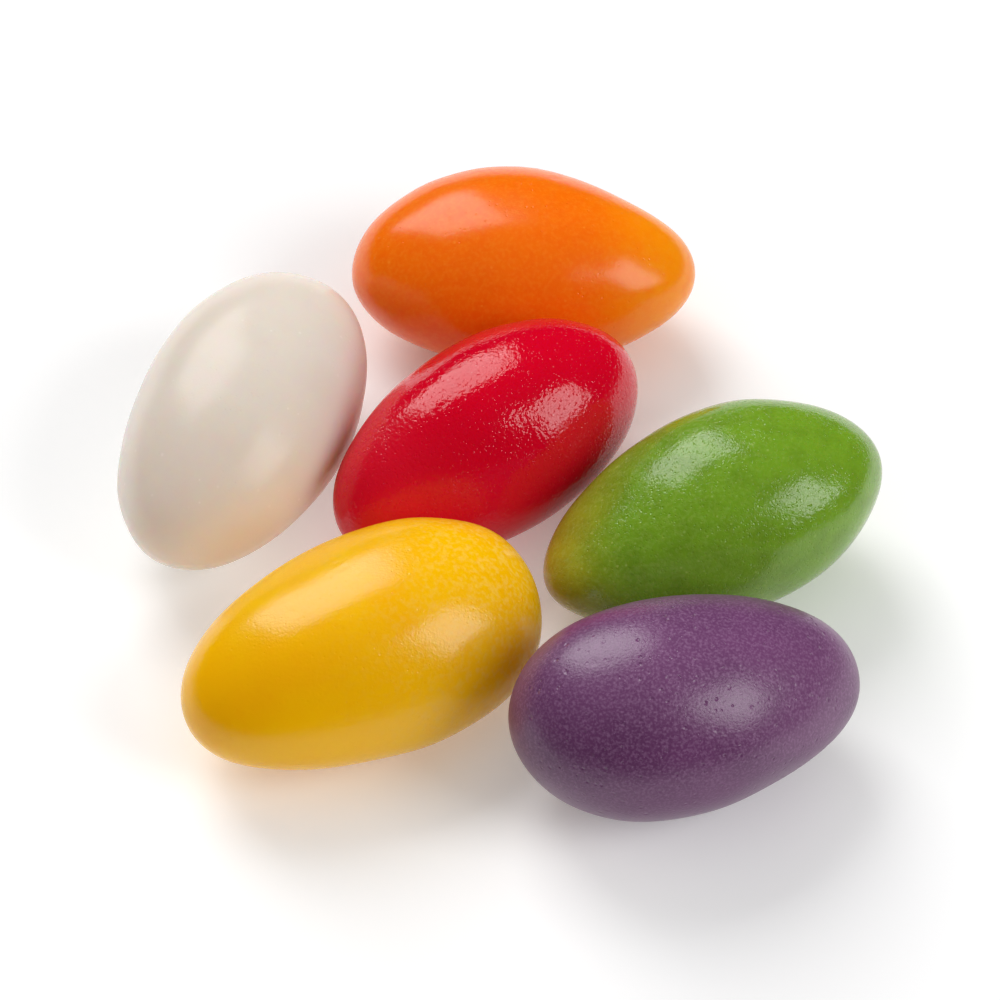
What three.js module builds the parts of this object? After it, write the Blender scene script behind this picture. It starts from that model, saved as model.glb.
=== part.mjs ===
// Six sugar-shelled marshmallow eggs, lying loose on a table as they fell.
// Millimetres, +Z up. The origin is on the table, under the middle of the heap.

import * as THREE from "three";

// Flat faces of one shell: round its upright axis, and from its top to its bottom.
const FACES_ROUND = 40;
const FACES_DOWN = 20;

// How deep the underside is pressed flat where the egg rests.
const REST_DEPTH = 0.2;

// How far a swell or a dent reaches over the shell, as an angle seen from the egg's middle.
const SWELL_REACH = THREE.MathUtils.degToRad(40);

// Each egg lies on its side. place is its middle on the table, and heading turns its length from +X,
// in degrees. A positive taper makes the end that it heads for the thicker one, and bow bends its length
// sideways. A swell stands out by its rise, or is a dent where that is negative. It faces an angle
// round the egg from the end that it heads for, and an angle up from the egg's mid-height.
const EGGS = [
  {
    name: "white_egg",
    colour: 0xd9c9b9,
    roughness: 0.4,
    place: [-27.6, 8.1],
    heading: 66,
    length: 38.8,
    width: 22.6,
    height: 21.7,
    taper: 0.02,
    bow: -0.3,
    swells: [
      { round: 95, up: 15, rise: -0.9 },
      { round: 70, up: 30, rise: 0.7 },
      { round: -95, up: 20, rise: 0.9 },
    ],
  },
  {
    name: "orange_egg",
    colour: 0xe86b06,
    roughness: 0.2,
    place: [2.5, 31],
    heading: 3,
    length: 37.5,
    width: 21.7,
    height: 19.9,
    taper: -0.02,
    bow: -0.3,
    swells: [
      { round: 85, up: 25, rise: 2 },
      { round: 60, up: 25, rise: -2 },
      { round: -55, up: 10, rise: 0.8 },
    ],
  },
  {
    name: "red_egg",
    colour: 0xc4071d,
    roughness: 0.15,
    place: [-1.6, 5.6],
    heading: 39,
    length: 37.9,
    width: 21.1,
    height: 21,
    taper: 0.08,
    bow: 0.3,
    swells: [
      { round: 20, up: 20, rise: -1.3 },
      { round: -125, up: 25, rise: -1.6 },
      { round: -15, up: 45, rise: 0.9 },
    ],
  },
  {
    name: "green_egg",
    colour: 0x6a9124,
    roughness: 0.2,
    place: [22, -5],
    heading: 20,
    length: 38.5,
    width: 21.4,
    height: 20.1,
    taper: 0.07,
    bow: -0.9,
    swells: [
      { round: 155, up: 45, rise: -2 },
      { round: -30, up: 0, rise: -1.3 },
      { round: 90, up: 65, rise: 1.5 },
      { round: -70, up: 45, rise: 1.1 },
      { round: -15, up: 30, rise: 0.7 },
    ],
  },
  {
    name: "yellow_egg",
    colour: 0xe6aa05,
    roughness: 0.2,
    place: [-14.8, -20.9],
    heading: 29,
    length: 36.4,
    width: 21.6,
    height: 20.5,
    taper: 0.05,
    bow: 1.1,
    swells: [
      { round: -145, up: -15, rise: 1.5 },
      { round: -60, up: -25, rise: 2.8 },
      { round: 115, up: 70, rise: -0.9 },
      { round: -40, up: 20, rise: 0.9 },
    ],
  },
  {
    name: "purple_egg",
    colour: 0x664163,
    roughness: 0.3,
    place: [19, -30.4],
    heading: 11,
    length: 37.2,
    width: 23.1,
    height: 22.6,
    taper: -0.11,
    bow: 0.6,
    swells: [
      { round: -60, up: -25, rise: -1.5 },
      { round: 120, up: -10, rise: -1.2 },
      { round: 30, up: 35, rise: 0.9 },
      { round: -20, up: 30, rise: -1.4 },
    ],
  },
];

// The way that a swell faces, as a unit vector in the egg's own axes.
function facing({ round, up }) {
  const turn = THREE.MathUtils.degToRad(round);
  const lift = THREE.MathUtils.degToRad(up);
  return new THREE.Vector3(Math.cos(lift) * Math.cos(turn), Math.cos(lift) * Math.sin(turn), Math.sin(lift));
}

// The shell's distance from the egg's middle at a point of the unit ball, as a share of a plain egg's.
function fullness(egg, point) {
  let share = 1;
  for (const swell of egg.swells) {
    const away = point.angleTo(facing(swell)) / SWELL_REACH;
    share += (swell.rise / (egg.width / 2)) * Math.exp(-(away ** 2));
  }
  return share;
}

// Takes a point of the unit ball to the shell of an egg that heads along +X, level along its underside.
function shellPoint(egg, point) {
  const full = fullness(egg, point);
  const girth = 1 + egg.taper * point.x;
  const sideways = egg.bow * (point.x ** 2 - 1 / 3);
  return new THREE.Vector3(
    (egg.length / 2) * point.x * full,
    (egg.width / 2) * girth * point.y * full + sideways,
    (egg.height / 2) * girth * (1 + point.z * full),
  );
}

// Sets a shell down on the table, with its lowest stretch pressed flat.
function settle(geometry) {
  const positions = geometry.attributes.position;
  geometry.computeBoundingBox();
  geometry.translate(0, 0, -REST_DEPTH - geometry.boundingBox.min.z);
  for (let i = 0; i < positions.count; i += 1) {
    positions.setZ(i, Math.max(positions.getZ(i), 0));
  }
}

// One closed shell: a ball with its poles at the top and the bottom, drawn out to the egg's form.
function shellGeometry(egg) {
  const geometry = new THREE.SphereGeometry(1, FACES_ROUND, FACES_DOWN);
  geometry.rotateX(Math.PI / 2);
  const positions = geometry.attributes.position;
  const point = new THREE.Vector3();
  for (let i = 0; i < positions.count; i += 1) {
    point.fromBufferAttribute(positions, i).normalize();
    positions.setXYZ(i, ...shellPoint(egg, point));
  }
  settle(geometry);
  geometry.computeVertexNormals();
  return geometry;
}

// One egg, turned to its heading and set down in its place.
function eggMesh(egg) {
  const material = new THREE.MeshStandardMaterial({
    color: egg.colour,
    roughness: egg.roughness,
    metalness: 0,
  });
  const mesh = new THREE.Mesh(shellGeometry(egg), material);
  mesh.name = egg.name;
  mesh.position.set(...egg.place, 0);
  mesh.rotation.z = THREE.MathUtils.degToRad(egg.heading);
  return mesh;
}

const heap = new THREE.Group();
heap.add(...EGGS.map(eggMesh));

export default heap;
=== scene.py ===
"""Six sugar-shelled marshmallow eggs, lying loose on a pale table.

Each egg's solid gives its form. A smooth shell is laid through the solid's corners, given the waves
and pits of a panned sugar coat, and finished in its own colour. Lengths are in metres, in the solids'
own frame.
"""

import logging
import math
from dataclasses import dataclass
from enum import Enum

import bpy
import numpy as np
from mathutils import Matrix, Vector


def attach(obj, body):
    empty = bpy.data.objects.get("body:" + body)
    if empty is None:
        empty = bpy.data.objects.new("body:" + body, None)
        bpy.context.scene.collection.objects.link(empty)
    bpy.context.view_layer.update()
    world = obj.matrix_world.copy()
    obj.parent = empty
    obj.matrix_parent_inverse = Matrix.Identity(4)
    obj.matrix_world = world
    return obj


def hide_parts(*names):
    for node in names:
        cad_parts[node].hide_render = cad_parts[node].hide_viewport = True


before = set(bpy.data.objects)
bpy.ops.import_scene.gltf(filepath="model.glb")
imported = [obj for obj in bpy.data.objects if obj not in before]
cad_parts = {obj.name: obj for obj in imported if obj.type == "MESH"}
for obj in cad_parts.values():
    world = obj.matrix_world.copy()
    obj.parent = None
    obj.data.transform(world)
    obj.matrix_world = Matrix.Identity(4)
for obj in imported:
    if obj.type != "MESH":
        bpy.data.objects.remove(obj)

MM = 0.001
LOG = logging.getLogger("marshmallow_eggs")

Rgb = tuple[float, float, float]
Triple = tuple[float, float, float]
Span = tuple[float, float]
Source = bpy.types.NodeSocket | float | Triple


class Lustre(Enum):
    """How far a shell is polished, as the roughness of its wax."""

    GLOSS = 0.10
    POLISH = 0.14
    WAX = 0.20
    SATIN = 0.24
    MATT = 0.30


class Kind(Enum):
    """Kinds of socket on a shader node group."""

    COLOUR = "NodeSocketColor"
    VALUE = "NodeSocketFloat"
    VECTOR = "NodeSocketVector"


class Sum(Enum):
    """Sums on numbers that vary over a surface."""

    ADD = "ADD"
    SUBTRACT = "SUBTRACT"
    MULTIPLY = "MULTIPLY"
    MULTIPLY_ADD = "MULTIPLY_ADD"
    POWER = "POWER"
    ABSOLUTE = "ABSOLUTE"
    LESS_THAN = "LESS_THAN"


class Blend(Enum):
    """Ways to lay one colour on another."""

    COVER = "MIX"
    TINT = "MULTIPLY"


class NodeWriter:
    """Short ways to add nodes to a tree."""

    MIX_FIRST = 6
    MIX_SECOND = 7
    MIX_RESULT = 2

    def __init__(self, tree: bpy.types.NodeTree) -> None:
        """Takes the tree to add to."""
        self.tree = tree

    def node(self, kind: str, **settings: object) -> bpy.types.Node:
        """A new node.

        Args:
            kind: The node's type name.
            settings: Values for the node's own properties.

        Returns:
            The node.
        """
        node = self.tree.nodes.new(kind)
        for name, value in settings.items():
            setattr(node, name, value)
        return node

    def feed(self, value: Source, socket: bpy.types.NodeSocket) -> None:
        """Links a socket to an input, or sets the input to a number, a vector or a colour.

        Args:
            value: A socket, a number, a vector or a colour.
            socket: The input.
        """
        if isinstance(value, bpy.types.NodeSocket):
            self.tree.links.new(value, socket)
        elif isinstance(value, tuple) and socket.type == "RGBA":
            socket.default_value = (*value, 1.0)
        else:
            socket.default_value = value

    def group(self, tree: bpy.types.NodeTree, values: dict[str, Source]) -> bpy.types.Node:
        """A node group, placed with its own values.

        Args:
            tree: The group's tree.
            values: A socket, number, vector or colour for each of the group's inputs.

        Returns:
            The group's node.
        """
        node = self.node("ShaderNodeGroup", node_tree=tree)
        for label, value in values.items():
            self.feed(value, node.inputs[label])
        return node

    def sum(self, kind: Sum, *values: Source) -> bpy.types.NodeSocket:
        """The result of a sum.

        Args:
            kind: The sum to do.
            values: Sockets or numbers, in the sum's order.

        Returns:
            The result's socket.
        """
        node = self.node("ShaderNodeMath", operation=kind.value)
        for value, socket in zip(values, node.inputs):
            self.feed(value, socket)
        return node.outputs[0]

    def mix(
        self,
        share: Source,
        first: Source,
        second: Source,
        blend: Blend = Blend.COVER,
    ) -> bpy.types.NodeSocket:
        """A mix of two colours.

        Args:
            share: Socket or number that gives the second colour's share.
            first: Socket or colour at share 0.
            second: Socket or colour at share 1.
            blend: How the second colour is laid on the first.

        Returns:
            The mixed colour's socket.
        """
        node = self.node("ShaderNodeMix", data_type="RGBA", blend_type=blend.value)
        self.feed(share, node.inputs["Factor"])
        self.feed(first, node.inputs[self.MIX_FIRST])
        self.feed(second, node.inputs[self.MIX_SECOND])
        return node.outputs[self.MIX_RESULT]

    def ramp(self, value: Source, low: Source, high: Source) -> bpy.types.NodeSocket:
        """A smooth rise from 0 to 1 as a value goes from low to high.

        Args:
            value: The socket to read.
            low: Socket or number where the rise starts.
            high: Socket or number where it ends.

        Returns:
            The rise's socket.
        """
        node = self.node("ShaderNodeMapRange", interpolation_type="SMOOTHSTEP")
        self.feed(value, node.inputs["Value"])
        self.feed(low, node.inputs["From Min"])
        self.feed(high, node.inputs["From Max"])
        return node.outputs["Result"]

    def place(self) -> bpy.types.NodeSocket:
        """The point that is being shaded, in metres."""
        return self.node("ShaderNodeTexCoord").outputs["Object"]


class Group(NodeWriter):
    """A shader node group with named inputs and outputs."""

    def __init__(self, name: str, inputs: dict[str, Kind], outputs: dict[str, Kind]) -> None:
        """Makes an empty group.

        Args:
            name: The group's name.
            inputs: Kind of each input, by name.
            outputs: Kind of each output, by name.
        """
        super().__init__(bpy.data.node_groups.new(name, "ShaderNodeTree"))
        for label, kind in inputs.items():
            self.tree.interface.new_socket(label, in_out="INPUT", socket_type=kind.value)
        for label, kind in outputs.items():
            self.tree.interface.new_socket(label, in_out="OUTPUT", socket_type=kind.value)
        self.inputs = self.node("NodeGroupInput").outputs
        self.outputs = self.node("NodeGroupOutput").inputs

    def noise(
        self,
        place: bpy.types.NodeSocket,
        scale: bpy.types.NodeSocket,
        detail: float,
        distortion: float = 0.0,
    ) -> bpy.types.NodeSocket:
        """Smooth noise round one half.

        Args:
            place: Where it is read.
            scale: How many of its blobs there are per metre.
            detail: How many finer layers it has.
            distortion: How far its blobs are drawn out into worms.

        Returns:
            The noise's socket.
        """
        node = self.node("ShaderNodeTexNoise", noise_dimensions="3D")
        self.feed(place, node.inputs["Vector"])
        self.feed(scale, node.inputs["Scale"])
        self.feed(detail, node.inputs["Detail"])
        self.feed(distortion, node.inputs["Distortion"])
        return node.outputs[0]

    def along(self, way: bpy.types.NodeSocket) -> bpy.types.NodeSocket:
        """How far along a direction the point that is being shaded lies, in metres."""
        node = self.node("ShaderNodeVectorMath", operation="DOT_PRODUCT")
        self.feed(self.place(), node.inputs[0])
        self.feed(way, node.inputs[1])
        return node.outputs["Value"]


class SugarEffects:
    """The node groups that every shell's finish shares."""

    CLOUD_DETAIL = 3.0
    CLOUD_EDGES = (0.40, 0.66)
    PATCH_DETAIL = 2.0
    PATCH_EDGES = (0.40, 0.74)
    GRAIN_CORE = 0.04
    GRAIN_REACH = (0.14, 0.30)
    PIT_CORE = 0.03
    PIT_REACH = (0.14, 0.40)
    CLUMP_DETAIL = 1.0
    CLUMP_EDGES = (0.42, 0.58)
    RIPPLE_DETAIL = 1.0
    RIPPLE_DISTORTION = 1.0
    GROOVE_LEVEL = 0.5
    GROOVE_HALF = 0.045
    PEEL_DETAIL = 1.0

    def __init__(self) -> None:
        """Builds each group once."""
        self.mottle = self._mottle()
        self.blush = self._blush()
        self.specks = self._specks()
        self.pits = self._pits()
        self.ripples = self._ripples()

    def _mottle(self) -> bpy.types.NodeTree:
        """Cloudy colour: broad deep clouds all over, and small pale patches where the coat is thin."""
        group = Group(
            "sugar_mottle",
            {
                "Colour": Kind.COLOUR,
                "Deep": Kind.COLOUR,
                "Pale": Kind.COLOUR,
                "Clouds": Kind.VALUE,
                "Clouds per metre": Kind.VALUE,
                "Patches": Kind.VALUE,
                "Patches per metre": Kind.VALUE,
                "Thin way": Kind.VECTOR,
                "Thin from": Kind.VALUE,
                "Thin to": Kind.VALUE,
            },
            {"Colour": Kind.COLOUR, "Patches": Kind.VALUE, "Thin": Kind.VALUE},
        )
        given = group.inputs
        place = group.place()
        cloud = group.noise(place, given["Clouds per metre"], self.CLOUD_DETAIL)
        deep_share = group.sum(Sum.MULTIPLY, group.ramp(cloud, *self.CLOUD_EDGES), given["Clouds"])
        clouded = group.mix(deep_share, given["Colour"], given["Deep"], Blend.TINT)
        thin = group.ramp(group.along(given["Thin way"]), given["Thin from"], given["Thin to"])
        patch = group.noise(place, given["Patches per metre"], self.PATCH_DETAIL)
        shape = group.sum(Sum.MULTIPLY, group.ramp(patch, *self.PATCH_EDGES), thin)
        pale_share = group.sum(Sum.MULTIPLY, shape, given["Patches"])
        group.feed(group.mix(pale_share, clouded, given["Pale"]), group.outputs["Colour"])
        group.feed(pale_share, group.outputs["Patches"])
        group.feed(thin, group.outputs["Thin"])
        return group.tree

    @staticmethod
    def _blush() -> bpy.types.NodeTree:
        """A second colour that comes in smoothly towards one end of an egg."""
        group = Group(
            "sugar_blush",
            {
                "Colour": Kind.COLOUR,
                "Blush": Kind.COLOUR,
                "Way": Kind.VECTOR,
                "From": Kind.VALUE,
                "To": Kind.VALUE,
            },
            {"Colour": Kind.COLOUR, "Share": Kind.VALUE},
        )
        given = group.inputs
        share = group.ramp(group.along(given["Way"]), given["From"], given["To"])
        group.feed(group.mix(share, given["Colour"], given["Blush"]), group.outputs["Colour"])
        group.feed(share, group.outputs["Share"])
        return group.tree

    def _specks(self) -> bpy.types.NodeTree:
        """Small pale grains of sugar, scattered over a colour where the coat is thin."""
        group = Group(
            "sugar_specks",
            {
                "Colour": Kind.COLOUR,
                "Grain": Kind.COLOUR,
                "Places per metre": Kind.VALUE,
                "Share": Kind.VALUE,
                "Clumps per metre": Kind.VALUE,
                "Clumping": Kind.VALUE,
                "Strength": Kind.VALUE,
                "Thin": Kind.VALUE,
            },
            {"Colour": Kind.COLOUR},
        )
        given = group.inputs
        spots = self._scatter(group, self.GRAIN_CORE, self.GRAIN_REACH)
        grain = group.sum(Sum.MULTIPLY, spots, given["Thin"])
        share = group.sum(Sum.MULTIPLY, grain, given["Strength"])
        group.feed(group.mix(share, given["Colour"], given["Grain"]), group.outputs["Colour"])
        return group.tree

    def _pits(self) -> bpy.types.NodeTree:
        """Pits where the sugar didn't close, as a height below the shell in metres."""
        group = Group(
            "sugar_pits",
            {
                "Places per metre": Kind.VALUE,
                "Share": Kind.VALUE,
                "Clumps per metre": Kind.VALUE,
                "Clumping": Kind.VALUE,
                "Depth": Kind.VALUE,
            },
            {"Height": Kind.VALUE},
        )
        pit = self._scatter(group, self.PIT_CORE, self.PIT_REACH)
        sunk = group.sum(Sum.MULTIPLY, group.inputs["Depth"], -1.0)
        group.feed(group.sum(Sum.MULTIPLY, pit, sunk), group.outputs["Height"])
        return group.tree

    def _scatter(self, group: Group, core: float, reach: Span) -> bpy.types.NodeSocket:
        """Scattered round spots of uneven size, strongest at their middles, evenly or in loose clumps.

        Args:
            group: The group to add to, with inputs for the places, the share of them that hold a spot,
                the clumps, and how far the spots keep to the clumps.
            core: Radius of a spot's even middle, in spacings.
            reach: Radius of the smallest spot and of the largest, in spacings.

        Returns:
            A mask from 0 to 1.
        """
        given = group.inputs
        place = group.place()
        cells = group.node("ShaderNodeTexVoronoi", feature="F1")
        group.feed(place, cells.inputs["Vector"])
        group.feed(given["Places per metre"], cells.inputs["Scale"])
        lot = group.node("ShaderNodeSeparateColor")
        group.feed(cells.outputs["Color"], lot.inputs[0])
        chosen = group.sum(Sum.LESS_THAN, lot.outputs[0], given["Share"])
        size = group.node("ShaderNodeMapRange")
        group.feed(lot.outputs[1], size.inputs["Value"])
        size.inputs["To Min"].default_value, size.inputs["To Max"].default_value = reach
        edge = group.ramp(cells.outputs["Distance"], core, size.outputs[0])
        fade = group.sum(Sum.SUBTRACT, 1.0, edge)
        clump = group.noise(place, given["Clumps per metre"], self.CLUMP_DETAIL)
        bare = group.sum(Sum.SUBTRACT, 1.0, group.ramp(clump, *self.CLUMP_EDGES))
        kept = group.sum(Sum.SUBTRACT, 1.0, group.sum(Sum.MULTIPLY, bare, given["Clumping"]))
        return group.sum(Sum.MULTIPLY, group.sum(Sum.MULTIPLY, fade, chosen), kept)

    def _ripples(self) -> bpy.types.NodeTree:
        """The grain of a tumbled coat, as a height in metres: ripples, worm-like grooves and a peel."""
        group = Group(
            "sugar_ripples",
            {
                "Ripples per metre": Kind.VALUE,
                "Ripple depth": Kind.VALUE,
                "Groove depth": Kind.VALUE,
                "Peel per metre": Kind.VALUE,
                "Peel depth": Kind.VALUE,
            },
            {"Height": Kind.VALUE},
        )
        given = group.inputs
        place = group.place()
        ripple = group.noise(
            place, given["Ripples per metre"], self.RIPPLE_DETAIL, self.RIPPLE_DISTORTION
        )
        away = group.sum(Sum.ABSOLUTE, group.sum(Sum.SUBTRACT, ripple, self.GROOVE_LEVEL))
        bank = group.ramp(away, 0.0, self.GROOVE_HALF)
        peel = group.noise(place, given["Peel per metre"], self.PEEL_DETAIL)
        swell = group.sum(Sum.MULTIPLY, ripple, given["Ripple depth"])
        swell = group.sum(Sum.ADD, swell, group.sum(Sum.MULTIPLY, bank, given["Groove depth"]))
        swell = group.sum(Sum.ADD, swell, group.sum(Sum.MULTIPLY, peel, given["Peel depth"]))
        group.feed(swell, group.outputs["Height"])
        return group.tree


@dataclass(frozen=True)
class SugarFinish:
    """The look of one shell: its colours, its polish, and how far the shared effects go on it.

    The deep clouds multiply the colour by their tint. The blush, if there is one, is the colour at one
    end. Pores are a second, finer layer of pits.
    """

    colour: Rgb
    deep: Rgb
    pale: Rgb
    lustre: Lustre
    blush: Rgb | None = None
    blush_way: Triple = (0.0, 0.0, 1.0)
    blush_span: Span = (0.0, 10.0 * MM)
    blush_roughness: float = 0.0
    clouds: float = 0.5
    cloud_size: float = 9.0 * MM
    patches: float = 0.0
    patch_size: float = 1.0 * MM
    thin_way: Triple = (0.0, 0.0, 1.0)
    thin_span: Span = (-1.0, 0.0)
    thin_roughness: float = 0.12
    grains: float = 0.3
    grain_spacing: float = 1.0 * MM
    grain_clumping: float = 1.0
    grain_strength: float = 0.5
    pits: float = 0.5
    pit_spacing: float = 0.55 * MM
    pit_clumping: float = 1.0
    pit_depth: float = 0.02 * MM
    pores: float = 0.0
    pore_spacing: float = 0.28 * MM
    pore_depth: float = 0.010 * MM
    clump_size: float = 7.0 * MM
    ripple_size: float = 0.9 * MM
    ripple_depth: float = 0.012 * MM
    groove_depth: float = 0.0
    peel_size: float = 0.22 * MM
    peel_depth: float = 0.010 * MM
    glow: float = 0.5
    glow_reach: float = 3.5 * MM
    glow_colours: Rgb = (1.0, 0.5, 0.25)
    wax_index: float = 1.45

    def material(self, name: str, effects: SugarEffects) -> bpy.types.Material:
        """The shell's material.

        Args:
            name: The material's name.
            effects: The shared node groups.

        Returns:
            The material.
        """
        material = bpy.data.materials.new(name)
        material.use_nodes = True
        nodes = NodeWriter(material.node_tree)
        shell = material.node_tree.nodes["Principled BSDF"]
        ground, blushed = self._ground(nodes, effects)
        mottle = nodes.group(effects.mottle, {
            "Colour": ground,
            "Deep": self.deep,
            "Pale": self.pale,
            "Clouds": self.clouds,
            "Clouds per metre": 1.0 / self.cloud_size,
            "Patches": self.patches,
            "Patches per metre": 1.0 / self.patch_size,
            "Thin way": self.thin_way,
            "Thin from": self.thin_span[0],
            "Thin to": self.thin_span[1],
        })
        specks = nodes.group(effects.specks, {
            "Colour": mottle.outputs["Colour"],
            "Grain": self.pale,
            "Places per metre": 1.0 / self.grain_spacing,
            "Share": self.grains,
            "Clumps per metre": 1.0 / self.clump_size,
            "Clumping": self.grain_clumping,
            "Strength": self.grain_strength,
            "Thin": mottle.outputs["Thin"],
        })
        nodes.feed(specks.outputs["Colour"], shell.inputs["Base Color"])
        nodes.feed(self._roughness(nodes, mottle.outputs["Patches"], blushed), shell.inputs["Roughness"])
        nodes.feed(self._normal(nodes, effects), shell.inputs["Normal"])
        shell.inputs["IOR"].default_value = self.wax_index
        shell.inputs["Subsurface Weight"].default_value = self.glow
        shell.inputs["Subsurface Scale"].default_value = self.glow_reach
        shell.inputs["Subsurface Radius"].default_value = self.glow_colours
        return material

    def _ground(self, nodes: NodeWriter, effects: SugarEffects) -> tuple[Source, Source]:
        """The colour under the clouds and patches, and the blush's share of it.

        Args:
            nodes: Writer of the material's tree.
            effects: The shared node groups.

        Returns:
            A plain colour and 0, or the sockets of a colour that turns to the blush and of its share.
        """
        if self.blush is None:
            return self.colour, 0.0
        blush = nodes.group(effects.blush, {
            "Colour": self.colour,
            "Blush": self.blush,
            "Way": self.blush_way,
            "From": self.blush_span[0],
            "To": self.blush_span[1],
        })
        return blush.outputs["Colour"], blush.outputs["Share"]

    def _roughness(self, nodes: NodeWriter, patches: Source, blushed: Source) -> Source:
        """Roughness that rises in the thin patches, and towards the end with the blush.

        Args:
            nodes: Writer of the material's tree.
            patches: Socket of the thin patches' mask.
            blushed: Socket of the blush's share.

        Returns:
            The roughness socket, or a number where it is the same all over.
        """
        level = self.lustre.value
        if self.patches:
            level = nodes.sum(Sum.MULTIPLY_ADD, patches, self.thin_roughness, level)
        if self.blush_roughness:
            level = nodes.sum(Sum.MULTIPLY_ADD, blushed, self.blush_roughness, level)
        return level

    def _normal(self, nodes: NodeWriter, effects: SugarEffects) -> bpy.types.NodeSocket:
        """The shell's normal, bent by its ripples, its pits and its pores.

        Args:
            nodes: Writer of the material's tree.
            effects: The shared node groups.

        Returns:
            The bent normal's socket.
        """
        ripples = nodes.group(effects.ripples, {
            "Ripples per metre": 1.0 / self.ripple_size,
            "Ripple depth": self.ripple_depth,
            "Groove depth": self.groove_depth,
            "Peel per metre": 1.0 / self.peel_size,
            "Peel depth": self.peel_depth,
        })
        height = ripples.outputs["Height"]
        holes = (
            (self.pits, self.pit_spacing, self.pit_depth),
            (self.pores, self.pore_spacing, self.pore_depth),
        )
        for share, spacing, depth in holes:
            if share:
                pits = nodes.group(effects.pits, {
                    "Places per metre": 1.0 / spacing,
                    "Share": share,
                    "Clumps per metre": 1.0 / self.clump_size,
                    "Clumping": self.pit_clumping,
                    "Depth": depth,
                })
                height = nodes.sum(Sum.ADD, height, pits.outputs["Height"])
        bump = nodes.node("ShaderNodeBump")
        bump.inputs["Strength"].default_value = 1.0
        bump.inputs["Distance"].default_value = 1.0
        nodes.feed(height, bump.inputs["Height"])
        return bump.outputs["Normal"]


@dataclass(frozen=True)
class ShellGrid:
    """A ball of quads: a box lattice, blown up so that its corners are unit vectors."""

    along: int = 150
    across: int = 90

    def build(self) -> tuple[np.ndarray, np.ndarray]:
        """The ball's corners as unit vectors, and its quads as rows of four corner numbers."""
        steps = np.array([self.along, self.across, self.across])
        faces = [self._face(steps, axis, side) for axis in range(3) for side in (0, 1)]
        lattice = np.concatenate(faces).reshape(-1, 3)
        places, numbers = np.unique(lattice, axis=0, return_inverse=True)
        spread = np.tan((2.0 * places / steps - 1.0) * math.pi / 4.0)
        return spread / np.linalg.norm(spread, axis=1, keepdims=True), numbers.reshape(-1, 4)

    @staticmethod
    def _face(steps: np.ndarray, axis: int, side: int) -> np.ndarray:
        """One side of the lattice.

        Args:
            steps: How many quads the lattice has along each axis.
            axis: The axis that the side faces along.
            side: 0 for the low side and 1 for the high one.

        Returns:
            Lattice places of each quad's four corners, in order round its outward normal.
        """
        first, second = (axis + 1) % 3, (axis + 2) % 3
        i, j = np.meshgrid(np.arange(steps[first]), np.arange(steps[second]), indexing="ij")
        ring = [(0, 0), (1, 0), (1, 1), (0, 1)]
        corners = []
        for step_i, step_j in ring if side else ring[::-1]:
            place = np.full((*i.shape, 3), side * steps[axis])
            place[..., first] = i + step_i
            place[..., second] = j + step_j
            corners.append(place)
        return np.stack(corners, axis=2).reshape(-1, 4, 3)


class SmoothForm:
    """The smooth closed form through a solid's corners: an ellipsoid, drawn in or out all round."""

    DEGREE = 8

    def __init__(self, corners: np.ndarray) -> None:
        """Fits the form.

        Args:
            corners: The solid's corners, one row each.
        """
        spread = np.cov(corners[:, :2].T)
        way = np.linalg.eigh(spread)[1][:, 1]
        self.axes = np.array([[*way, 0.0], [-way[1], way[0], 0.0], [0.0, 0.0, 1.0]])
        local = corners @ self.axes.T
        self.middle = (local.min(axis=0) + local.max(axis=0)) / 2.0
        self.half = (local.max(axis=0) - local.min(axis=0)) / 2.0
        rays = (local - self.middle) / self.half
        reach = np.linalg.norm(rays, axis=1)
        self.terms = np.linalg.lstsq(self._powers(rays / reach[:, None]), reach, rcond=None)[0]

    def points(self, directions: np.ndarray) -> np.ndarray:
        """The form's points in those directions from its middle.

        Args:
            directions: Unit vectors in the egg's own axes, one row each.

        Returns:
            The points, one row each.
        """
        reach = self._powers(directions) @ self.terms
        local = directions * reach[:, None] * self.half + self.middle
        return local @ self.axes

    def _powers(self, directions: np.ndarray) -> np.ndarray:
        """Products of powers of the directions' coordinates, which span the smooth forms of a degree."""
        x, y, z = directions.T
        columns = [
            x**i * y**j * z**k
            for k in range(2)
            for j in range(self.DEGREE + 1 - k)
            for i in range(self.DEGREE + 1 - k - j)
        ]
        return np.stack(columns, axis=1)


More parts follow.
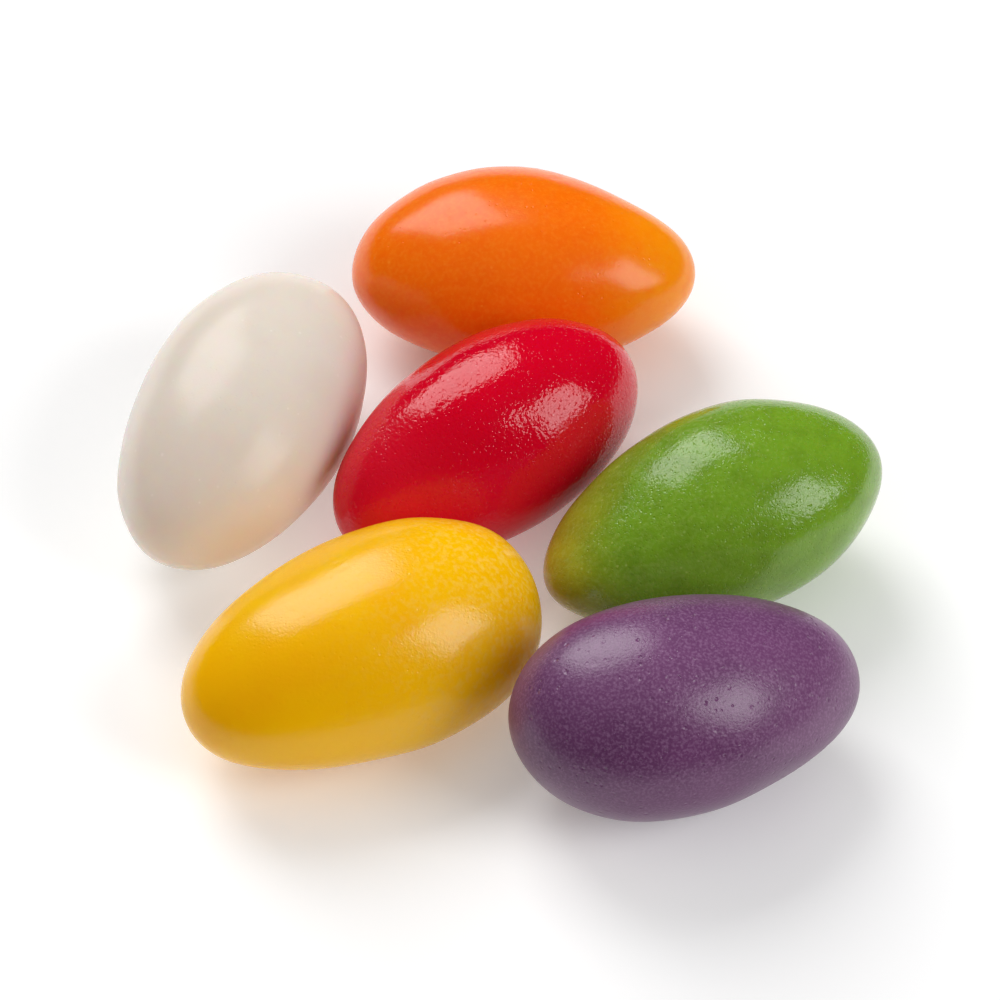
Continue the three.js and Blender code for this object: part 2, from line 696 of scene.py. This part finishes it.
@dataclass(frozen=True)
class Relief:
    """The unevenness of one shell: broad waves from tumbling, and pits where the sugar didn't close."""

    pits: int
    wave_height: float = 0.04 * MM
    wave_length: float = 8.0 * MM
    pit_radius: float = 0.45 * MM
    pit_depth: float = 0.03 * MM
    clumping: float = 1.0
    clump_length: float = 16.0 * MM

    WAVES = 28
    LENGTH_SPREAD = (0.7, 1.6)
    PIT_SPREAD = (0.5, 1.3)
    PIT_RIM = 0.6

    def waves(self, points: np.ndarray, length: float, draw: np.random.Generator) -> np.ndarray:
        """Smooth random waves of about unit height.

        Args:
            points: Where to work them out, one row each.
            length: Mean length of a wave.
            draw: The source of random numbers.

        Returns:
            One number for each point.
        """
        ways = draw.normal(size=(self.WAVES, 3))
        ways /= np.linalg.norm(ways, axis=1, keepdims=True)
        lengths = length * draw.uniform(*self.LENGTH_SPREAD, self.WAVES)
        phases = draw.uniform(0.0, 2.0 * math.pi, self.WAVES)
        angles = points @ (ways * (2.0 * math.pi / lengths)[:, None]).T + phases
        return np.sin(angles).sum(axis=1) / math.sqrt(self.WAVES / 2.0)

    def heights(self, points: np.ndarray, draw: np.random.Generator) -> np.ndarray:
        """How far the shell stands out from its smooth form.

        Args:
            points: The smooth form's points, one row each.
            draw: The source of random numbers.

        Returns:
            One height for each point.
        """
        height = self.wave_height * self.waves(points, self.wave_length, draw)
        weights = np.exp(self.clumping * self.waves(points, self.clump_length, draw))
        centres = points[draw.choice(len(points), self.pits, p=weights / weights.sum())]
        sizes = draw.uniform(*self.PIT_SPREAD, self.pits)
        for centre, size in zip(centres, sizes):
            away = np.sum((points - centre) ** 2, axis=1) / (size * self.pit_radius) ** 2
            height -= self.pit_depth * size * (1.0 - self.PIT_RIM * away) * np.exp(-away)
        return height


@dataclass
class SugarEgg:
    """One egg: a smooth shell with its relief, over the solid of the same name."""

    name: str
    slot: str
    finish: SugarFinish
    relief: Relief
    seed: int
    table: float = 0.0

    def build(self, grid: ShellGrid) -> bpy.types.Object:
        """Makes the shell's mesh.

        Args:
            grid: The ball of quads that is drawn out to the egg's form.

        Returns:
            The new object, linked to the scene.
        """
        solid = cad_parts[self.name]
        corners = np.empty(len(solid.data.vertices) * 3)
        solid.data.vertices.foreach_get("co", corners)
        form = SmoothForm(corners.reshape(-1, 3))
        directions, quads = grid.build()
        points = form.points(directions)
        outward = self._normals(points, quads)
        height = self.relief.heights(points, np.random.default_rng(self.seed))
        points += outward * height[:, None]
        points[:, 2] = np.maximum(points[:, 2], self.table)
        mesh = bpy.data.meshes.new(f"{self.name}_shell")
        mesh.from_pydata(points.tolist(), [], quads.tolist())
        mesh.shade_smooth()
        shell = bpy.data.objects.new(f"{self.name}_shell", mesh)
        bpy.context.collection.objects.link(shell)
        return shell

    def dress(self, shell: bpy.types.Object, effects: SugarEffects) -> None:
        """Gives the shell its finish and its place in the frame.

        Args:
            shell: The egg's object.
            effects: The shared node groups.
        """
        shell.data.materials.append(self.finish.material(self.slot, effects))
        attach(shell, "root")
        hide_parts(self.name)

    @staticmethod
    def _normals(points: np.ndarray, quads: np.ndarray) -> np.ndarray:
        """Outward unit normals at the points of a mesh of quads.

        Args:
            points: The mesh's points.
            quads: Rows of four point numbers.

        Returns:
            One unit vector for each point.
        """
        corner = points[quads]
        faces = np.cross(corner[:, 2] - corner[:, 0], corner[:, 3] - corner[:, 1])
        normals = np.zeros_like(points)
        for column in quads.T:
            np.add.at(normals, column, faces)
        return normals / np.linalg.norm(normals, axis=1, keepdims=True)


def heading(turn: float, rise: float) -> Vector:
    """The unit vector towards a place round the heap.

    Args:
        turn: Degrees round from the viewer's side, towards +X.
        rise: Degrees above the table.

    Returns:
        The unit vector.
    """
    around, up = math.radians(turn), math.radians(rise)
    return Vector((math.sin(around) * math.cos(up), -math.cos(around) * math.cos(up), math.sin(up)))


@dataclass(frozen=True)
class Softbox:
    """A rectangular studio light that faces the heap."""

    name: str
    turn: float
    rise: float
    width: float
    height: float
    radiance: float
    distance: float = 0.9

    def build(self, target: Vector) -> None:
        """Makes the light, facing a point."""
        lamp = bpy.data.lights.new(self.name, "AREA")
        lamp.shape = "RECTANGLE"
        lamp.size, lamp.size_y = self.width, self.height
        lamp.energy = self.radiance * math.pi * self.width * self.height
        light = bpy.data.objects.new(self.name, lamp)
        bpy.context.collection.objects.link(light)
        away = heading(self.turn, self.rise)
        light.location = target + away * self.distance
        light.rotation_euler = away.to_track_quat("Z", "Y").to_euler()
        light.visible_camera = False


class Reading(Enum):
    """Distances on the table: to the right, away from the viewer, or out from a middle."""

    RIGHT = "X"
    BACK = "Y"
    OUT = "Value"


@dataclass(frozen=True)
class TableGlow:
    """Light from the table itself, which rises smoothly over a span of one reading.

    The reading out from a middle starts at that point of the table.
    """

    reading: Reading
    span: Span
    strength: float
    middle: Triple = (0.0, 0.0, 0.0)


@dataclass
class Studio:
    """A glowing white table under two softboxes, in a dim room with a pale backdrop.

    The table glows a little all over, and more in the front half, to the left, far to the right, under
    the heap and just in front of it. Its white fades far in front and far to the right.
    """

    table_size: float = 6.0
    table_colour: Rgb = (0.9, 0.9, 0.9)
    table_roughness: float = 0.9
    table_shine: float = 0.1
    table_glow: float = 0.06
    glows: tuple[TableGlow, ...] = (
        TableGlow(Reading.BACK, (15.0 * MM, -12.0 * MM), 0.06),
        TableGlow(Reading.RIGHT, (-5.0 * MM, -65.0 * MM), 0.12),
        TableGlow(Reading.RIGHT, (45.0 * MM, 80.0 * MM), 0.4),
        TableGlow(Reading.OUT, (40.0 * MM, 0.0), 0.30, middle=(-14.0 * MM, -3.0 * MM, 0.0)),
        TableGlow(Reading.OUT, (26.0 * MM, 0.0), 0.11, middle=(5.0 * MM, -40.0 * MM, 0.0)),
    )
    dim_colour: Rgb = (0.08, 0.08, 0.08)
    front_fade: Span = (-110.0 * MM, -62.0 * MM)
    right_fade: Span = (130.0 * MM, 72.0 * MM)
    room_colour: Rgb = (1.0, 1.0, 1.0)
    room_light: float = 0.17
    ceiling_light: float = 0.45
    ceiling_power: float = 2.0
    backdrop: float = 1.0
    focus: Triple = (0.0, 0.0, 10.0 * MM)
    softboxes: tuple[Softbox, ...] = (
        Softbox("back_softbox", turn=-151.0, rise=45.0, width=0.52, height=0.69, radiance=4.9),
        Softbox("side_softbox", turn=66.0, rise=34.0, width=0.44, height=0.57, radiance=5.2),
    )

    def build(self) -> None:
        """Makes the table, the lights and the room."""
        self._table()
        self._room()
        for softbox in self.softboxes:
            softbox.build(Vector(self.focus))
        bpy.context.scene.view_settings.view_transform = "Standard"

    def _table(self) -> None:
        """A plain table top."""
        half = self.table_size / 2.0
        corners = [(-half, -half, 0.0), (half, -half, 0.0), (half, half, 0.0), (-half, half, 0.0)]
        mesh = bpy.data.meshes.new("table")
        mesh.from_pydata(corners, [], [(0, 1, 2, 3)])
        mesh.materials.append(self._table_white())
        table = bpy.data.objects.new("table", mesh)
        bpy.context.collection.objects.link(table)

    def _table_white(self) -> bpy.types.Material:
        """The table's white, with its fades and its glows."""
        material = bpy.data.materials.new("table_white")
        material.use_nodes = True
        material.cycles.emission_sampling = "NONE"
        nodes = NodeWriter(material.node_tree)
        paint = material.node_tree.nodes["Principled BSDF"]
        front = nodes.ramp(self._reading(nodes, Reading.BACK), *self.front_fade)
        right = nodes.ramp(self._reading(nodes, Reading.RIGHT), *self.right_fade)
        white = nodes.mix(nodes.sum(Sum.MULTIPLY, front, right), self.dim_colour, self.table_colour)
        level = self.table_glow
        for glow in self.glows:
            rise = nodes.ramp(self._reading(nodes, glow.reading, glow.middle), *glow.span)
            level = nodes.sum(Sum.MULTIPLY_ADD, rise, glow.strength, level)
        nodes.feed(white, paint.inputs["Base Color"])
        nodes.feed(nodes.mix(1.0, white, level, Blend.TINT), paint.inputs["Emission Color"])
        paint.inputs["Emission Strength"].default_value = 1.0
        paint.inputs["Roughness"].default_value = self.table_roughness
        paint.inputs["Specular IOR Level"].default_value = self.table_shine
        return material

    @staticmethod
    def _reading(
        nodes: NodeWriter,
        reading: Reading,
        middle: Triple = (0.0, 0.0, 0.0),
    ) -> bpy.types.NodeSocket:
        """One reading, at the point of the table that is being shaded.

        Args:
            nodes: Writer of the table's node tree.
            reading: The reading to take.
            middle: Where a reading outwards starts.

        Returns:
            The reading's socket, in metres.
        """
        if reading is Reading.OUT:
            node = nodes.node("ShaderNodeVectorMath", operation="DISTANCE")
            nodes.feed(middle, node.inputs[1])
        else:
            node = nodes.node("ShaderNodeSeparateXYZ")
        nodes.feed(nodes.place(), node.inputs[0])
        return node.outputs[reading.value]

    def _room(self) -> None:
        """A room with a brighter ceiling, which the shells don't mirror, and a pale backdrop."""
        world = bpy.data.worlds.new("dim_room")
        bpy.context.scene.world = world
        world.use_nodes = True
        world.cycles_visibility.glossy = False
        world.cycles.sampling_method = "NONE"
        nodes = NodeWriter(world.node_tree)
        way = nodes.node("ShaderNodeSeparateXYZ")
        nodes.feed(nodes.node("ShaderNodeTexCoord").outputs["Generated"], way.inputs[0])
        height = nodes.sum(Sum.POWER, way.outputs["Z"], self.ceiling_power)
        strength = nodes.sum(Sum.MULTIPLY_ADD, height, self.ceiling_light, self.room_light)
        dim = world.node_tree.nodes["Background"]
        pale = nodes.node("ShaderNodeBackground")
        for light, level in ((dim, strength), (pale, self.backdrop)):
            nodes.feed(self.room_colour, light.inputs["Color"])
            nodes.feed(level, light.inputs["Strength"])
        seen = nodes.node("ShaderNodeLightPath")
        choice = nodes.node("ShaderNodeMixShader")
        nodes.feed(seen.outputs["Is Camera Ray"], choice.inputs[0])
        nodes.feed(dim.outputs[0], choice.inputs[1])
        nodes.feed(pale.outputs[0], choice.inputs[2])
        nodes.feed(choice.outputs[0], world.node_tree.nodes["World Output"].inputs["Surface"])


@dataclass(frozen=True)
class PhotoCamera:
    """The camera at the photograph's place, looking down on the heap."""

    rise: float = 50.0
    distance: float = 0.48
    target: Triple = (0.0, 6.0 * MM, 0.0)
    pixels_per_mm: float = 9.3
    frame_pixels: float = 1000.0
    sensor: float = 36.0
    clip: Span = (0.01, 20.0)

    def build(self) -> None:
        """Makes the camera and gives it to the scene."""
        data = bpy.data.cameras.new("photo_camera")
        data.sensor_width = self.sensor
        data.lens = self.pixels_per_mm / MM * self.distance * self.sensor / self.frame_pixels
        data.clip_start, data.clip_end = self.clip
        camera = bpy.data.objects.new("photo_camera", data)
        bpy.context.collection.objects.link(camera)
        away = heading(0.0, self.rise)
        camera.location = Vector(self.target) + away * self.distance
        camera.rotation_euler = away.to_track_quat("Z", "Y").to_euler()
        bpy.context.scene.camera = camera


WHITE_SHELL = SugarFinish(
    colour=(0.695, 0.645, 0.575),
    deep=(0.96, 0.94, 0.915),
    pale=(0.81, 0.77, 0.71),
    lustre=Lustre.SATIN,
    grains=0.15,
    pits=0.4,
    pit_depth=0.016 * MM,
    ripple_depth=0.008 * MM,
    peel_depth=0.006 * MM,
    glow=1.0,
    glow_reach=14.0 * MM,
    wax_index=1.33,
)
ORANGE_SHELL = SugarFinish(
    colour=(0.90, 0.172, 0.001),
    deep=(0.98, 0.82, 1.0),
    pale=(0.94, 0.34, 0.03),
    lustre=Lustre.WAX,
    blush=(0.92, 0.29, 0.001),
    blush_way=(1.0, 0.0, 0.0),
    blush_span=(8.0 * MM, 19.0 * MM),
    clouds=0.4,
    cloud_size=1.2 * MM,
    patches=0.2,
    patch_size=0.45 * MM,
    grains=0.1,
    pits=0.35,
    pit_depth=0.03 * MM,
    ripple_depth=0.008 * MM,
    glow=0.8,
    glow_reach=6.0 * MM,
    wax_index=1.37,
)
RED_SHELL = SugarFinish(
    colour=(0.66, 0.001, 0.018),
    deep=(0.91, 1.0, 0.84),
    pale=(0.90, 0.30, 0.34),
    lustre=Lustre.GLOSS,
    blush=(0.65, 0.001, 0.019),
    blush_way=(-0.5, -0.5, -0.7),
    blush_span=(-13.0 * MM, -2.0 * MM),
    blush_roughness=0.17,
    # The pale grains towards the upper right are partly the shell's own sugar specks and partly painted
    # glints: lighter spots that stand in for light caught by the rough top.
    thin_way=(0.5, 0.5, 0.7),
    thin_span=(6.0 * MM, 27.0 * MM),
    grains=0.7,
    grain_spacing=0.46 * MM,
    grain_clumping=0.6,
    grain_strength=0.6,
    pits=0.6,
    pit_spacing=0.55 * MM,
    pit_clumping=0.1,
    pit_depth=0.034 * MM,
    pores=1.0,
    pore_spacing=0.40 * MM,
    pore_depth=0.028 * MM,
    ripple_depth=0.012 * MM,
    peel_size=0.44 * MM,
    peel_depth=0.044 * MM,
    glow=0.6,
    glow_reach=4.0 * MM,
    wax_index=1.42,
)
GREEN_SHELL = SugarFinish(
    colour=(0.175, 0.337, 0.017),
    deep=(0.80, 0.79, 0.78),
    pale=(0.50, 0.62, 0.18),
    lustre=Lustre.POLISH,
    blush=(0.43, 0.34, 0.02),
    blush_way=(-0.9, 0.1, -0.4),
    blush_span=(-20.0 * MM, -6.0 * MM),
    clouds=0.6,
    cloud_size=3.0 * MM,
    patches=0.16,
    patch_size=0.45 * MM,
    thin_way=(-0.9, 0.1, 0.2),
    thin_span=(-40.0 * MM, -6.0 * MM),
    grains=0.8,
    grain_spacing=0.8 * MM,
    grain_clumping=0.7,
    grain_strength=0.5,
    pits=1.0,
    pit_spacing=0.48 * MM,
    pit_clumping=0.1,
    pit_depth=0.034 * MM,
    pores=1.0,
    pore_spacing=0.35 * MM,
    pore_depth=0.020 * MM,
    ripple_size=1.1 * MM,
    ripple_depth=0.010 * MM,
    groove_depth=0.006 * MM,
    peel_size=0.42 * MM,
    peel_depth=0.024 * MM,
    glow=0.5,
    glow_reach=4.0 * MM,
)
YELLOW_SHELL = SugarFinish(
    colour=(0.98, 0.51, 0.0005),
    deep=(0.97, 0.88, 1.0),
    pale=(0.97, 0.62, 0.14),
    lustre=Lustre.WAX,
    patches=0.5,
    patch_size=0.6 * MM,
    thin_way=(0.9, 0.35, 0.25),
    thin_span=(-26.0 * MM, 8.0 * MM),
    grains=0.2,
    pits=0.4,
    pit_clumping=0.3,
    ripple_depth=0.012 * MM,
    peel_size=0.30 * MM,
    peel_depth=0.022 * MM,
    glow=0.9,
    glow_reach=5.5 * MM,
    glow_colours=(1.0, 0.9, 0.3),
    wax_index=1.39,
)
PURPLE_SHELL = SugarFinish(
    colour=(0.135, 0.035, 0.122),
    deep=(0.70, 0.68, 0.72),
    pale=(0.36, 0.19, 0.345),
    lustre=Lustre.MATT,
    # The blush here is painted sheen: a paler purple towards the top and back stands in for the soft
    # sheen and stronger light on the shell's upper side.
    blush=(0.165, 0.053, 0.152),
    blush_way=(0.0, 0.5, 0.87),
    blush_span=(-8.0 * MM, 4.0 * MM),
    patches=0.4,
    patch_size=0.28 * MM,
    thin_way=(0.0, 0.3, 0.95),
    thin_span=(-14.0 * MM, 8.0 * MM),
    thin_roughness=0.2,
    grains=0.95,
    grain_spacing=0.34 * MM,
    grain_clumping=0.4,
    grain_strength=0.6,
    pits=0.6,
    pit_spacing=0.9 * MM,
    pit_clumping=0.4,
    pit_depth=0.07 * MM,
    pores=0.9,
    pore_spacing=0.30 * MM,
    pore_depth=0.016 * MM,
    ripple_depth=0.010 * MM,
    peel_size=0.26 * MM,
    peel_depth=0.024 * MM,
    glow=0.0,
    wax_index=1.52,
)

EGGS = (
    SugarEgg("white_egg", "white_shell", WHITE_SHELL, Relief(pits=10), seed=11),
    SugarEgg("orange_egg", "orange_shell", ORANGE_SHELL, Relief(pits=30), seed=12),
    SugarEgg("red_egg", "red_shell", RED_SHELL, Relief(pits=40), seed=23),
    SugarEgg("green_egg", "green_shell", GREEN_SHELL, Relief(pits=40), seed=14),
    SugarEgg("yellow_egg", "yellow_shell", YELLOW_SHELL, Relief(pits=30), seed=15),
    SugarEgg("purple_egg", "purple_shell", PURPLE_SHELL, Relief(pits=90), seed=16),
)


def main() -> None:
    """Builds the eggs, the studio and the camera, and logs each shell's count of quads."""
    logging.basicConfig(level=logging.INFO, format="%(name)s: %(message)s")
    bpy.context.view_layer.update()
    effects = SugarEffects()
    grid = ShellGrid()
    for egg in EGGS:
        shell = egg.build(grid)
        egg.dress(shell, effects)
        LOG.info("%s: %d quads", shell.name, len(shell.data.polygons))
    Studio().build()
    PhotoCamera().build()


if __name__ == "__main__":
    main()
